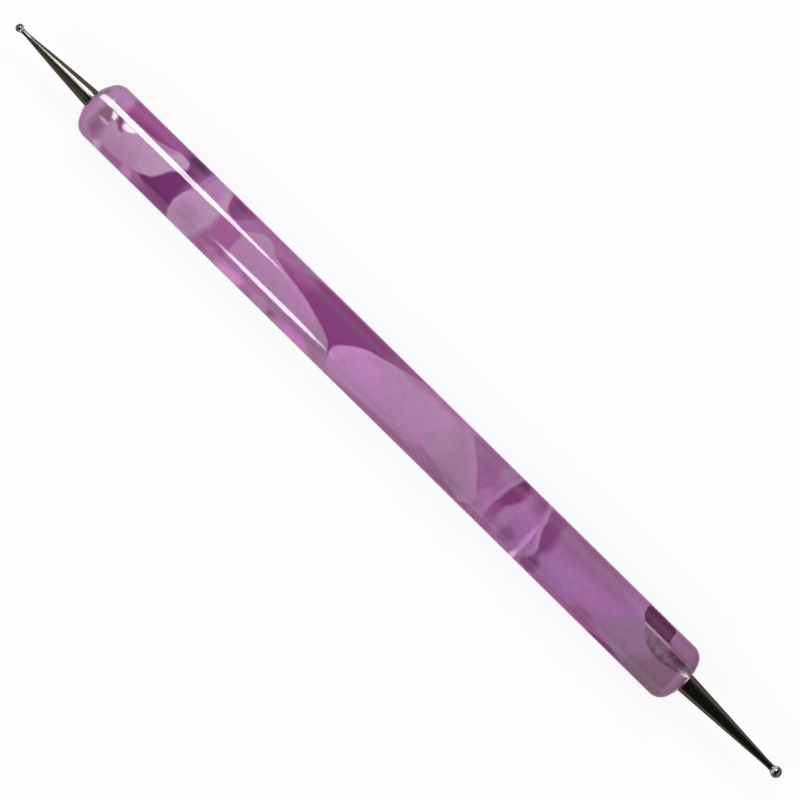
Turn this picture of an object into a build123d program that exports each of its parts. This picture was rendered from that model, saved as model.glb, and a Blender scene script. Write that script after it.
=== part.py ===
"""Double-ended embossing stylus.

A turned rod of marbled acrylic has a domed end each way. A steel pin is glued into a blind bore in each
end, a fine one towards -X and a broad one towards +X, and carries a soldered ball. The origin is on the
tool's axis at the middle of the handle, and all sizes are in millimetres.
"""

import os
from math import radians, sqrt, tan

from build123d import *

# Handle
handle_diameter = 8.0
handle_length = 102.3
corner_radius = 2.0
mouth_chamfer = 0.12
drill_point_degrees = 118.0
cut_overrun = 1.0

# Adhesive, in the gap round a shank and in the pool behind it
glue_gap = 0.05
glue_pool = 0.6
glue_setback = 0.35

# Features that both pins share
shank_chamfer = 0.3
groove_width = 0.5
groove_depth = 0.15

# Solder, round a neck and behind it in the ball's socket
solder_film = 0.05

# Fine end, where reach is from the handle's end to the far side of the ball
fine_reach = 12.7
fine_dome_rise = 1.7
fine_shank_diameter = 2.4
fine_shank_depth = 7.0
fine_groove_place = 2.0
fine_taper_crown = 0.04
fine_neck_diameter = 0.6
fine_neck_length = 0.9
fine_ball_diameter = 1.1
fine_seat_depth = 0.2
fine_solder_radius = 0.3

# Broad end
broad_reach = 16.2
broad_dome_rise = 1.25
broad_shank_diameter = 2.6
broad_shank_depth = 9.0
broad_groove_place = 2.2
broad_taper_crown = 0.01
broad_neck_diameter = 0.86
broad_neck_length = 1.1
broad_ball_diameter = 1.5
broad_seat_depth = 0.25
broad_solder_radius = 0.4

# Sizes worked out from the ones above
handle_radius = handle_diameter / 2


def end_plane(outward):
    """One end's drawing plane: local X runs out along the tool from the handle's end, local Y is radius."""
    return Plane(origin=(outward * handle_length / 2, 0, 0), x_dir=(outward, 0, 0), z_dir=(0, -outward, 0))


def arc_about(centre, start, end):
    """The shorter arc from start to end round centre."""
    radius = (Vector(start) - Vector(centre)).length
    middle = (Vector(start) + Vector(end)) / 2 - Vector(centre)
    return ThreePointArc(start, Vector(centre) + middle.normalized() * radius, end)


def ball_surface(reach, ball_diameter, radius):
    """How far out the ball's near side lies at this radius from the axis."""
    ball = ball_diameter / 2
    return reach - ball - sqrt(ball**2 - radius**2)


def make_bore(plane, shank_diameter, shank_depth, mouth):
    """The drilled space round a shank, from its drill point out to mouth on the plane's X."""
    radius = shank_diameter / 2 + glue_gap
    floor = shank_depth + glue_pool
    point = radius / tan(radians(drill_point_degrees / 2))
    with BuildPart() as bore:
        with BuildSketch(plane):
            with BuildLine():
                Polyline((mouth, 0), (-floor - point, 0), (-floor, radius), (mouth, radius), close=True)
            make_face()
        revolve(axis=Axis.X)
    return bore.part


def make_pin(
    plane, reach, shank_diameter, shank_depth, groove_place, taper_crown, neck_diameter, neck_length,
    ball_diameter, seat_depth,
):
    """A steel pin: grooved shank, slightly crowned taper, and a straight neck that ends inside the ball."""
    shank = shank_diameter / 2
    neck = neck_diameter / 2
    neck_shows_to = ball_surface(reach, ball_diameter, neck)
    neck_end = neck_shows_to + seat_depth
    taper_length = neck_shows_to - neck_length
    crown = (taper_length / 2, (shank + neck) / 2 + taper_crown)
    groove = groove_place - shank_depth
    with BuildPart() as pin:
        with BuildSketch(plane):
            with BuildLine():
                Polyline(
                    (taper_length, neck),
                    (neck_end, neck),
                    (neck_end, 0),
                    (-shank_depth, 0),
                    (-shank_depth, shank - shank_chamfer),
                    (shank_chamfer - shank_depth, shank),
                    (0, shank),
                )
                ThreePointArc((0, shank), crown, (taper_length, neck))
            make_face()
            with Locations((groove, shank)):
                Rectangle(groove_width, groove_depth * 2, mode=Mode.SUBTRACT)
        revolve(axis=Axis.X)
    return pin.part


def make_ball(plane, reach, neck_diameter, ball_diameter, seat_depth):
    """A ball with a flat-bottomed socket drilled in its near side for the neck and its solder."""
    near_side = reach - ball_diameter
    socket = neck_diameter / 2 + solder_film
    floor = ball_surface(reach, ball_diameter, neck_diameter / 2) + seat_depth + solder_film
    with BuildPart() as ball:
        with Locations(plane.from_local_coords(Vector(reach - ball_diameter / 2, 0))):
            Sphere(ball_diameter / 2)
        with BuildSketch(plane):
            with BuildLine():
                Polyline((near_side, 0), (floor, 0), (floor, socket), (near_side, socket), close=True)
            make_face()
        revolve(axis=Axis.X, mode=Mode.SUBTRACT)
    return ball.part


def make_solder(plane, reach, neck_diameter, ball_diameter, seat_depth, solder_radius):
    """Solder that fills the socket round the neck, with a hollow fillet outside from the neck to the ball."""
    neck = neck_diameter / 2
    ball = ball_diameter / 2
    socket = neck + solder_film
    neck_end = ball_surface(reach, ball_diameter, neck) + seat_depth
    floor = neck_end + solder_film
    rim = (ball_surface(reach, ball_diameter, socket), socket)
    ball_centre = Vector(reach - ball, 0)
    hollow_x = ball_centre.X - sqrt((ball + solder_radius) ** 2 - (neck + solder_radius) ** 2)
    hollow_centre = Vector(hollow_x, neck + solder_radius)
    on_neck = (hollow_x, neck)
    on_ball = ball_centre + (hollow_centre - ball_centre).normalized() * ball
    with BuildPart() as solder:
        with BuildSketch(plane):
            with BuildLine():
                Polyline(on_neck, (neck_end, neck), (neck_end, 0), (floor, 0), (floor, socket), rim)
                arc_about(ball_centre, rim, on_ball)
                arc_about(hollow_centre, on_ball, on_neck)
            make_face()
        revolve(axis=Axis.X)
    return solder.part


def make_adhesive(plane, shank_diameter, shank_depth, pin):
    """Cured adhesive: all of the bore that the pin leaves, up to a little inside the mouth."""
    with BuildPart() as adhesive:
        add(make_bore(plane, shank_diameter, shank_depth, -glue_setback))
        add(pin, mode=Mode.SUBTRACT)
    return adhesive.part


def dome_radius(dome_rise):
    """Radius of an end that stands out by dome_rise over the handle's width."""
    return (handle_radius**2 + dome_rise**2) / (dome_rise * 2)


def make_handle(bores):
    """The acrylic rod, with domed ends, rounded corners and a bore in each end."""
    half_length = handle_length / 2
    fine_shoulder = (fine_dome_rise - half_length, handle_radius)
    broad_shoulder = (half_length - broad_dome_rise, handle_radius)
    with BuildPart() as handle:
        with BuildSketch(Plane.XZ) as outline:
            with BuildLine():
                Line((-half_length, 0), (half_length, 0))
                arc_about((half_length - dome_radius(broad_dome_rise), 0), (half_length, 0), broad_shoulder)
                Line(broad_shoulder, fine_shoulder)
                arc_about((dome_radius(fine_dome_rise) - half_length, 0), fine_shoulder, (-half_length, 0))
            make_face()
            fillet(outline.vertices().group_by(Axis.Y)[-1], radius=corner_radius)
        revolve(axis=Axis.X)
        for bore in bores:
            add(bore, mode=Mode.SUBTRACT)
        rings = handle.edges().filter_by(Plane.YZ).sort_by(Axis.X)
        chamfer([rings[0], rings[-1]], length=mouth_chamfer)
    return handle.part


def save(part, name):
    part.label = name
    export_step(part, f"parts/{name}.step")


os.makedirs("parts", exist_ok=True)

fine_plane = end_plane(-1)
fine_pin = make_pin(
    fine_plane, fine_reach, fine_shank_diameter, fine_shank_depth, fine_groove_place, fine_taper_crown,
    fine_neck_diameter, fine_neck_length, fine_ball_diameter, fine_seat_depth,
)
fine_ball = make_ball(fine_plane, fine_reach, fine_neck_diameter, fine_ball_diameter, fine_seat_depth)
fine_solder = make_solder(
    fine_plane, fine_reach, fine_neck_diameter, fine_ball_diameter, fine_seat_depth, fine_solder_radius,
)
save(fine_pin, "fine_pin")
save(fine_ball, "fine_ball")
save(fine_solder, "fine_solder")
save(make_adhesive(fine_plane, fine_shank_diameter, fine_shank_depth, fine_pin), "fine_adhesive")

broad_plane = end_plane(1)
broad_pin = make_pin(
    broad_plane, broad_reach, broad_shank_diameter, broad_shank_depth, broad_groove_place, broad_taper_crown,
    broad_neck_diameter, broad_neck_length, broad_ball_diameter, broad_seat_depth,
)
broad_ball = make_ball(broad_plane, broad_reach, broad_neck_diameter, broad_ball_diameter, broad_seat_depth)
broad_solder = make_solder(
    broad_plane, broad_reach, broad_neck_diameter, broad_ball_diameter, broad_seat_depth, broad_solder_radius,
)
save(broad_pin, "broad_pin")
save(broad_ball, "broad_ball")
save(broad_solder, "broad_solder")
save(make_adhesive(broad_plane, broad_shank_diameter, broad_shank_depth, broad_pin), "broad_adhesive")

handle_bores = [
    make_bore(fine_plane, fine_shank_diameter, fine_shank_depth, cut_overrun),
    make_bore(broad_plane, broad_shank_diameter, broad_shank_depth, cut_overrun),
]
save(make_handle(handle_bores), "handle")
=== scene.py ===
"""Dressed model of an embossing stylus: a marbled acrylic barrel with a ball-tipped pin in each end.

Sizes are in metres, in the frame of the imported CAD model. The origin is on the tool's axis at the middle of
the barrel, +X runs towards the broad end, and the table is half the barrel's diameter below the axis.
"""

import random
from math import asin, atan2, cos, hypot, pi, radians, sin, sqrt, tan

import bpy
from bpy.props import FloatProperty, FloatVectorProperty, IntProperty, PointerProperty
from mathutils import Color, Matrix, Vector


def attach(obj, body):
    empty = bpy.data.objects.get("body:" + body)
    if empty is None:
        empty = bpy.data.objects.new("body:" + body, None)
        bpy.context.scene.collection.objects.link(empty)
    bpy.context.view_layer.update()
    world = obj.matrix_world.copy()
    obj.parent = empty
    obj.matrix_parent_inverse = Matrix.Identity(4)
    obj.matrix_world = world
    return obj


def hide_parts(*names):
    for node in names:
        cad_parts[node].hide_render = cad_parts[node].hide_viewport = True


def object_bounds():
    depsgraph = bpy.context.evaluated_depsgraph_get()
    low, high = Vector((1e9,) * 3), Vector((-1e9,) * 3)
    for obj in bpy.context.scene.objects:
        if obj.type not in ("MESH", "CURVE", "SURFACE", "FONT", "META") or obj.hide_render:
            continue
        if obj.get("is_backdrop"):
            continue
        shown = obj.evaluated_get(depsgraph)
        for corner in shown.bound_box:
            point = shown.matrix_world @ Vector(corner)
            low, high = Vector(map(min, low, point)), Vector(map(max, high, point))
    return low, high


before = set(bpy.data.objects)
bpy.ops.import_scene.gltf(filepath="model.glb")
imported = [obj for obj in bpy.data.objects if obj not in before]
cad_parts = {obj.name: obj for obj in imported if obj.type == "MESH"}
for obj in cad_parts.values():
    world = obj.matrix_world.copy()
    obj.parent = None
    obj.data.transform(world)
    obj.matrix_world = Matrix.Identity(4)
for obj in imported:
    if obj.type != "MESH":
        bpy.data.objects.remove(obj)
cad_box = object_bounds()

bl_info = {
    "name": "Embossing stylus",
    "version": (1, 0, 0),
    "blender": (4, 5, 0),
    "location": "3D View > Sidebar > Stylus",
    "description": "Builds a double-ended embossing stylus with a marbled acrylic barrel",
    "category": "Add Mesh",
}

# A millimetre, the distance within which points are welded, and the sharpest bend that is shaded smooth
MM = 0.001
WELD = 1e-7
SMOOTH_ANGLE = radians(32)

# How strongly the acrylic bends light
RESIN_IOR = 1.49

# Straight steps that stand for each curve of an outline
DOME_STEPS, CORNER_STEPS, TAPER_STEPS = 12, 20, 16
BALL_STEPS, SEAT_STEPS, FILLET_STEPS = 48, 6, 12


# Settings that a user may change


def length(name, description, millimetres):
    """A length setting, given in millimetres and kept in metres."""
    return FloatProperty(
        name=name, description=description, default=millimetres * MM, min=0, precision=5,
        subtype="DISTANCE", unit="LENGTH",
    )


def paint(red, green, blue):
    """A linear colour from the 0 to 255 numbers that a colour picker shows."""
    def linear(part):
        share = part / 255
        return share / 12.92 if share <= 0.04045 else ((share + 0.055) / 1.055) ** 2.4
    return linear(red), linear(green), linear(blue)


def colour(name, description, red, green, blue):
    """A colour setting."""
    return FloatVectorProperty(
        name=name, description=description, default=paint(red, green, blue), min=0, max=1, size=3,
        subtype="COLOR",
    )


def brightness(name, description, radiance):
    """A setting for how brightly a light glows."""
    return FloatProperty(name=name, description=description, default=radiance, min=0)


class BarrelSettings(bpy.types.PropertyGroup):
    """Sizes of the turned barrel and of the drilled holes in its ends."""

    diameter: length("Diameter", "Diameter of the acrylic rod", 8.0)
    length: length("Length", "Length of the barrel from dome to dome", 102.3)
    corner_radius: length("Corner radius", "Rounding between the dome and the straight wall", 2.0)
    mouth_chamfer: length("Mouth chamfer", "Chamfer round each drilled hole", 0.12)
    drill_point: FloatProperty(
        name="Drill point", description="Angle of the cone at the bottom of each hole",
        default=radians(118), min=radians(60), max=radians(175), subtype="ANGLE",
    )
    pearl_inset: length("Pearl inset", "Clear resin over the pearl layer", 0.6)
    pearl_thickness: length("Pearl thickness", "Thickness of the pearl layer", 0.25)
    pearl_mouth: length("Pearl mouth", "Clear resin between a pin and the pearl layer round it", 0.32)
    glue_gap: length("Glue gap", "Adhesive between a shank and the wall of its hole", 0.05)
    glue_pool: length("Glue pool", "Adhesive behind a shank", 0.6)
    glue_setback: length("Glue setback", "How far inside the mouth the adhesive stops", 0.35)
    turn_steps: IntProperty(name="Steps", description="Faces in one turn", default=128, min=24, max=360)


# Sizes that each end has: the fine end's value, then the broad end's
END_SIZES = (
    ("reach", "Reach", "From the barrel's end to the far side of the ball", 12.7, 16.2),
    ("dome_rise", "Dome rise", "How far the barrel's domed end stands out", 1.7, 1.25),
    ("shank_diameter", "Shank diameter", "Diameter of the pin inside the barrel", 2.4, 2.6),
    ("shank_depth", "Shank depth", "How deep the pin sits in the barrel", 7.0, 9.0),
    ("groove_place", "Groove place", "From the shank's inner end to the middle of its groove", 2.0, 2.2),
    ("taper_crown", "Taper crown", "How far the taper swells from a straight line", 0.04, 0.01),
    ("neck_diameter", "Neck diameter", "Diameter of the pin's thin end", 0.6, 0.86),
    ("neck_length", "Neck length", "Straight part of the pin before the ball", 0.9, 1.1),
    ("ball_diameter", "Ball diameter", "Diameter of the ball", 1.1, 1.5),
    ("seat_depth", "Seat depth", "How far the neck goes into the ball", 0.2, 0.25),
    ("solder_radius", "Solder radius", "Radius of the hollow solder fillet", 0.3, 0.4),
)


def end_sizes(column):
    """The length settings of one end, from its column of the table."""
    return {key: length(name, says, sizes[column]) for key, name, says, *sizes in END_SIZES}


class FineEndSettings(bpy.types.PropertyGroup):
    """Sizes of the fine pin and its ball."""

    __annotations__ = end_sizes(0)


class BroadEndSettings(bpy.types.PropertyGroup):
    """Sizes of the broad pin and its ball."""

    __annotations__ = end_sizes(1)


class PinSettings(bpy.types.PropertyGroup):
    """Details that both pins share."""

    shank_chamfer: length("Shank chamfer", "Chamfer at the shank's inner end", 0.3)
    groove_width: length("Groove width", "Width of the groove that keys the adhesive", 0.5)
    groove_depth: length("Groove depth", "Depth of that groove", 0.15)
    solder_film: length("Solder film", "Solder between the neck and the ball's socket", 0.05)
    steel: colour("Pin steel", "Dark bright plate on the pins", 82, 80, 74)
    ball_steel: colour("Ball steel", "Dark plate on the balls", 104, 101, 102)
    solder: colour("Solder", "Dark plate over the solder", 118, 115, 110)
    # Painted reflection: a lighter colour painted on the side of each ball that faces the handle
    painted_sheen: colour("Tin", "Bright tin round the ball's socket", 196, 184, 196)


class MarblingSettings(bpy.types.PropertyGroup):
    """Colours of the pearl marbling and the clear resin over it."""

    resin: colour("Resin", "Tint of the clear resin", 243, 236, 243)
    resin_slant: colour("Resin at a slant", "Tint of the resin where it is seen at a slant", 249, 246, 249)
    adhesive: colour("Adhesive", "Cured adhesive in the holes", 136, 105, 124)
    milk: colour("Milky adhesive", "Adhesive where it has turned milky", 222, 184, 210)
    rust: colour("Rust", "Rust that has bled into the adhesive", 104, 62, 76)
    # Pale pink: in the adhesive it is a painted highlight near each mouth, in the petals a pale pink pearl
    pale_pink_and_highlight: colour("Bead", "Pale bead of adhesive at the mouth of a hole", 246, 214, 226)
    # Painted highlight: the glints by the fine mouth are painted on the pearl; the same colour also lightens
    # one pale patch lower on the fine end
    glint: colour("Glint", "White pearl that catches the light near the fine end", 255, 243, 250)
    violet: colour("Violet", "Ground of the marbling", 156, 106, 158)
    lilac: colour("Lilac", "Light pearl in the petals", 174, 127, 168)
    mist: colour("Mist", "Palest pearl", 182, 144, 176)
    bright: colour("Bright lilac", "Brightest pearl, along rims", 196, 138, 202)
    plum: colour("Plum", "Deep clear places", 110, 44, 102)
    # Painted shade: plum darkened for the places near the sides, to offset the pale sheen that the resin
    # shows there
    deep: colour("Deep plum", "The deepest places, low on the sides", 84, 14, 76)
    magenta: colour("Magenta plum", "Deep places with a redder tone", 138, 62, 124)
    dusk: colour("Dusk", "Dim violet", 144, 92, 138)
    rose: colour("Rose", "Warm pink pearl", 155, 92, 142)
    blush: colour("Blush", "Pale pink pearl", 200, 132, 190)
    smoke: colour("Smoke", "Grey pearl", 158, 120, 154)
    ash: colour("Ash", "Dull grey pearl", 140, 110, 136)
    umber: colour("Umber", "Brownish, cloudy places", 126, 94, 114)
    inside: colour("Inside", "The far wall, seen deep inside the resin", 150, 62, 136)


class StageSettings(bpy.types.PropertyGroup):
    """Camera, floor and lights."""

    lens: FloatProperty(name="Lens", description="Focal length in millimetres", default=250, min=20)
    view_width: length("View width", "Width of the picture at the tool's axis", 98.0)
    view_x: length("View centre", "Centre of the picture along the tool", 1.83)
    view_y: length("View offset", "Centre of the picture across the tool", 0.18)
    roll: FloatProperty(
        name="Roll", description="Turn of the camera about the vertical", default=radians(44.53),
        subtype="ANGLE",
    )
    floor_size: length("Floor size", "Width of the floor", 8000)
    key_glow: brightness("Key light", "Radiance of the long light", 18)
    fill_glow: brightness("Fill light", "Radiance of the short light", 16)
    pin_glow: brightness("Pin card", "Radiance of the narrow card that shows in the fine pin", 11.78)
    pin_shade_glow: brightness("Pin shade card", "Radiance of the dim card beside it", 0.471)
    bounce_glow: brightness("Bounce card", "Radiance of the wide card, which shows in no reflection", 2)


class StylusSettings(bpy.types.PropertyGroup):
    """All settings of the stylus."""

    barrel: PointerProperty(type=BarrelSettings, name="Barrel", description="Sizes of the barrel")
    fine: PointerProperty(type=FineEndSettings, name="Fine end", description="Sizes of the fine end")
    broad: PointerProperty(type=BroadEndSettings, name="Broad end", description="Sizes of the broad end")
    pins: PointerProperty(type=PinSettings, name="Pins", description="Details of both pins")
    marbling: PointerProperty(type=MarblingSettings, name="Marbling", description="Colours of the barrel")
    stage: PointerProperty(type=StageSettings, name="Stage", description="Camera, floor and lights")


# Outlines, as (place along the tool, radius) pairs. Those of one end measure outwards from the barrel's end


def both_ends(settings):
    """Each end's side of the tool, its name and its settings."""
    return (-1, "fine", settings.fine), (1, "broad", settings.broad)


def arc(centre, radius, start, end, steps):
    """Points on a circle from one angle to another, both ends included."""
    return [
        (
            centre[0] + radius * cos(start + (end - start) * i / steps),
            centre[1] + radius * sin(start + (end - start) * i / steps),
        )
        for i in range(steps + 1)
    ]


def arc_through(start, middle, end, steps):
    """Points on the circle through three points."""
    (ax, ay), (bx, by), (cx, cy) = start, middle, end
    scale = 2 * (ax * (by - cy) + bx * (cy - ay) + cx * (ay - by))
    squares = ax * ax + ay * ay, bx * bx + by * by, cx * cx + cy * cy
    centre = (
        (squares[0] * (by - cy) + squares[1] * (cy - ay) + squares[2] * (ay - by)) / scale,
        (squares[0] * (cx - bx) + squares[1] * (ax - cx) + squares[2] * (bx - ax)) / scale,
    )
    angles = [atan2(y - centre[1], x - centre[0]) for x, y in (start, end)]
    return arc(centre, hypot(ax - centre[0], ay - centre[1]), *angles, steps)


def from_end(barrel, side, outline):
    """An outline moved to one end of the tool: side is -1 for the fine end and 1 for the broad end."""
    return [(side * (barrel.length / 2 + out), radius) for out, radius in outline]


def end_curve(barrel, end, inset, mouth):
    """Domed end and rounded corner, inset from the barrel's surface, from radius mouth to the wall."""
    wall = barrel.diameter / 2
    dome = (wall**2 + end.dome_rise**2) / (end.dome_rise * 2)
    corner_height = wall - barrel.corner_radius
    corner_place = sqrt((dome - barrel.corner_radius) ** 2 - corner_height**2) - dome
    meet = atan2(corner_height, corner_place + dome)
    dome_part = arc((-dome, 0), dome - inset, asin(mouth / (dome - inset)), meet, DOME_STEPS)
    corner = corner_place, corner_height
    corner_part = arc(corner, barrel.corner_radius - inset, meet, pi / 2, CORNER_STEPS)
    return dome_part + corner_part[1:]


def bore_radius(barrel, end):
    """Radius of the hole round a shank."""
    return end.shank_diameter / 2 + barrel.glue_gap


def barrel_end(barrel, end):
    """One end of the barrel: drill point, hole, mouth chamfer, dome and corner."""
    bore = bore_radius(barrel, end)
    floor = end.shank_depth + barrel.glue_pool
    point = bore / tan(barrel.drill_point / 2)
    outside = end_curve(barrel, end, 0, bore + barrel.mouth_chamfer)
    mouth = end_curve(barrel, end, 0, bore)[0][0]
    return [(-floor - point, 0), (-floor, bore), (mouth - barrel.mouth_chamfer, bore)] + outside


def barrel_outline(settings):
    """The whole barrel, from the bottom of one hole to the bottom of the other."""
    barrel = settings.barrel
    fine, broad = (
        from_end(barrel, side, barrel_end(barrel, end)) for side, name, end in both_ends(settings)
    )
    return fine + broad[::-1]


def pearl_outline(settings):
    """The pearl layer: a thin closed shell just under the barrel's surface."""
    barrel = settings.barrel
    faces = []
    for inset in (barrel.pearl_inset, barrel.pearl_inset + barrel.pearl_thickness):
        curves = []
        for side, name, end in both_ends(settings):
            mouth = bore_radius(barrel, end) + barrel.pearl_mouth
            curves.append(from_end(barrel, side, end_curve(barrel, end, inset, mouth)))
        faces.append(curves[0] + curves[1][::-1])
    return faces[0] + faces[1][::-1] + faces[0][:1]


def near_side(end, radius):
    """How far out the ball's near side lies, at a radius from the axis."""
    ball = end.ball_diameter / 2
    return end.reach - ball - sqrt(ball**2 - radius**2)


def pin_outline(settings, end):
    """Shank with its groove and chamfer, crowned taper, and straight neck."""
    pins = settings.pins
    shank, neck = end.shank_diameter / 2, end.neck_diameter / 2
    shows_to = near_side(end, neck)
    taper = shows_to - end.neck_length
    groove = end.groove_place - end.shank_depth
    half = pins.groove_width / 2
    crown = taper / 2, (shank + neck) / 2 + end.taper_crown
    return [
        (-end.shank_depth, 0),
        (-end.shank_depth, shank - pins.shank_chamfer),
        (pins.shank_chamfer - end.shank_depth, shank),
        (groove - half, shank),
        (groove - half, shank - pins.groove_depth),
        (groove + half, shank - pins.groove_depth),
        (groove + half, shank),
        *arc_through((0, shank), crown, (taper, neck), TAPER_STEPS),
        (shows_to + end.seat_depth, neck),
        (shows_to + end.seat_depth, 0),
    ]


def ball_outline(settings, end):
    """The ball, with the socket that is drilled in it for the neck."""
    ball, film = end.ball_diameter / 2, settings.pins.solder_film
    socket = end.neck_diameter / 2 + film
    floor = near_side(end, end.neck_diameter / 2) + end.seat_depth + film
    rim = pi - asin(socket / ball)
    return [(floor, 0), (floor, socket), *arc((end.reach - ball, 0), ball, rim, 0, BALL_STEPS)]


def solder_outline(settings, end):
    """Solder that fills the socket round the neck, with a hollow fillet between the neck and the ball."""
    ball, neck, film = end.ball_diameter / 2, end.neck_diameter / 2, settings.pins.solder_film
    socket = neck + film
    neck_end = near_side(end, neck) + end.seat_depth
    floor = neck_end + film
    ball_centre = end.reach - ball
    lift = neck + end.solder_radius
    hollow = ball_centre - sqrt((ball + end.solder_radius) ** 2 - lift**2)
    rim, meet = pi - asin(socket / ball), atan2(lift, hollow - ball_centre)
    towards_ball = atan2(-lift, ball_centre - hollow)
    return [
        (neck_end, 0),
        (floor, 0),
        (floor, socket),
        *arc((ball_centre, 0), ball, rim, meet, SEAT_STEPS),
        *arc((hollow, lift), end.solder_radius, towards_ball, -pi / 2, FILLET_STEPS)[1:],
        (neck_end, neck),
        (neck_end, 0),
    ]


def adhesive_outline(settings, end):
    """The adhesive in one hole, a hair clear of the wall and of the pin."""
    barrel, pins, hair = settings.barrel, settings.pins, 0.002 * MM
    shank = end.shank_diameter / 2 + hair
    bore = bore_radius(barrel, end) - hair
    floor = end.shank_depth + barrel.glue_pool - hair
    point = bore / tan(barrel.drill_point / 2)
    groove = end.groove_place - end.shank_depth
    half = pins.groove_width / 2 - hair
    return [
        (-floor - point, 0),
        (-floor, bore),
        (-barrel.glue_setback, bore),
        (-barrel.glue_setback, shank),
        (groove + half, shank),
        (groove + half, shank - pins.groove_depth),
        (groove - half, shank - pins.groove_depth),
        (groove - half, shank),
        (pins.shank_chamfer - end.shank_depth, shank),
        (-end.shank_depth - hair, shank - pins.shank_chamfer),
        (-end.shank_depth - hair, 0),
    ]


# Modelling steps


def draw_line(name, points):
    """A new object in edit mode that holds a chain of edges through the points, all selected."""
    bpy.ops.object.select_all(action="DESELECT")
    bpy.ops.mesh.primitive_plane_add(size=MM, location=points[0])
    piece = bpy.context.object
    piece.name = piece.data.name = name
    bpy.ops.object.transform_apply(location=True, rotation=False, scale=False)
    bpy.ops.object.mode_set(mode="EDIT")
    bpy.ops.mesh.select_mode(type="VERT")
    bpy.ops.mesh.select_all(action="SELECT")
    bpy.ops.mesh.merge(type="CENTER")
    for here, there in zip(points, points[1:]):
        step = [b - a for a, b in zip(here, there)]
        bpy.ops.mesh.extrude_vertices_move(TRANSFORM_OT_translate={"value": step})
    bpy.ops.mesh.select_all(action="SELECT")
    return piece


def close_up():
    """Weld the mesh in edit mode, turn its faces outwards and leave edit mode."""
    bpy.ops.mesh.select_all(action="SELECT")
    bpy.ops.mesh.remove_doubles(threshold=WELD)
    bpy.ops.mesh.normals_make_consistent(inside=False)
    bpy.ops.object.mode_set(mode="OBJECT")


def turned(name, outline, steps):
    """A closed solid turned about the X axis from its outline."""
    piece = draw_line(name, [(place, radius, 0) for place, radius in outline])
    bpy.ops.mesh.spin(
        steps=steps, dupli=False, angle=2 * pi, use_auto_merge=True, center=(0, 0, 0), axis=(1, 0, 0),
    )
    close_up()
    bpy.ops.object.shade_smooth_by_angle(angle=SMOOTH_ANGLE)
    return piece


def turn_each(settings, outline, prefix, part, steps):
    """Turn one piece for each end. Gives its CAD node's name, its end's settings and the piece."""
    for side, name, end in both_ends(settings):
        node = f"{name}_{part}"
        line = from_end(settings.barrel, side, outline(settings, end))
        yield node, end, turned(prefix + node, line, steps)


def rounded(points, steps):
    """A smooth closed line through the points, with this many straight steps from each to the next."""
    line = []
    for i, here in enumerate(points):
        before, there, after = (points[(i + shift) % len(points)] for shift in (-1, 1, 2))
        for s in range(steps):
            t = s / steps
            line.append(tuple(
                b + (c - a) * t / 2 + (2 * a - 5 * b + 4 * c - d) * t**2 / 2
                + (3 * b - a - 3 * c + d) * t**3 / 2
                for a, b, c, d in zip(before, here, there, after)
            ))
    return line


def cut_window(piece, outline, top):
    """Cut an opening, drawn as seen from above, through the upper wall of a shell."""
    corners = [(x, y, 0) for x, y in outline]
    cutter = draw_line("window_cutter", corners + corners[:1])
    bpy.ops.mesh.remove_doubles(threshold=WELD)
    bpy.ops.mesh.select_all(action="SELECT")
    bpy.ops.mesh.edge_face_add()
    bpy.ops.mesh.extrude_region_move(TRANSFORM_OT_translate={"value": (0, 0, top)})
    close_up()
    cut = piece.modifiers.new("window", "BOOLEAN")
    cut.operation, cut.solver, cut.object = "DIFFERENCE", "EXACT", cutter
    bpy.context.view_layer.objects.active = piece
    bpy.ops.object.modifier_apply(modifier=cut.name)
    bpy.data.objects.remove(cutter)


def finish_piece(piece, node, slot, *materials):
    """Give a piece its materials, hang it from the root body and hide the CAD node that it stands for."""
    for material in materials:
        piece.data.materials.append(material)
    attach(piece, "root")
    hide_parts(node)


# Materials


class Value:
    """One output of a node. Arithmetic on it adds Math nodes."""

    def __init__(self, nodes, socket):
        self.nodes, self.socket = nodes, socket

    def __add__(self, other):
        return self.nodes.maths("ADD", self, other)

    __radd__ = __add__

    def __sub__(self, other):
        return self.nodes.maths("SUBTRACT", self, other)

    def __rsub__(self, other):
        return self.nodes.maths("SUBTRACT", other, self)

    def __mul__(self, other):
        return self.nodes.maths("MULTIPLY", self, other)

    __rmul__ = __mul__

    def __truediv__(self, other):
        return self.nodes.maths("DIVIDE", self, other)

    def __abs__(self):
        return self.nodes.maths("ABSOLUTE", self)

    def other(self, name):
        """Another output of the same node."""
        return Value(self.nodes, self.socket.node.outputs[name])


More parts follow.
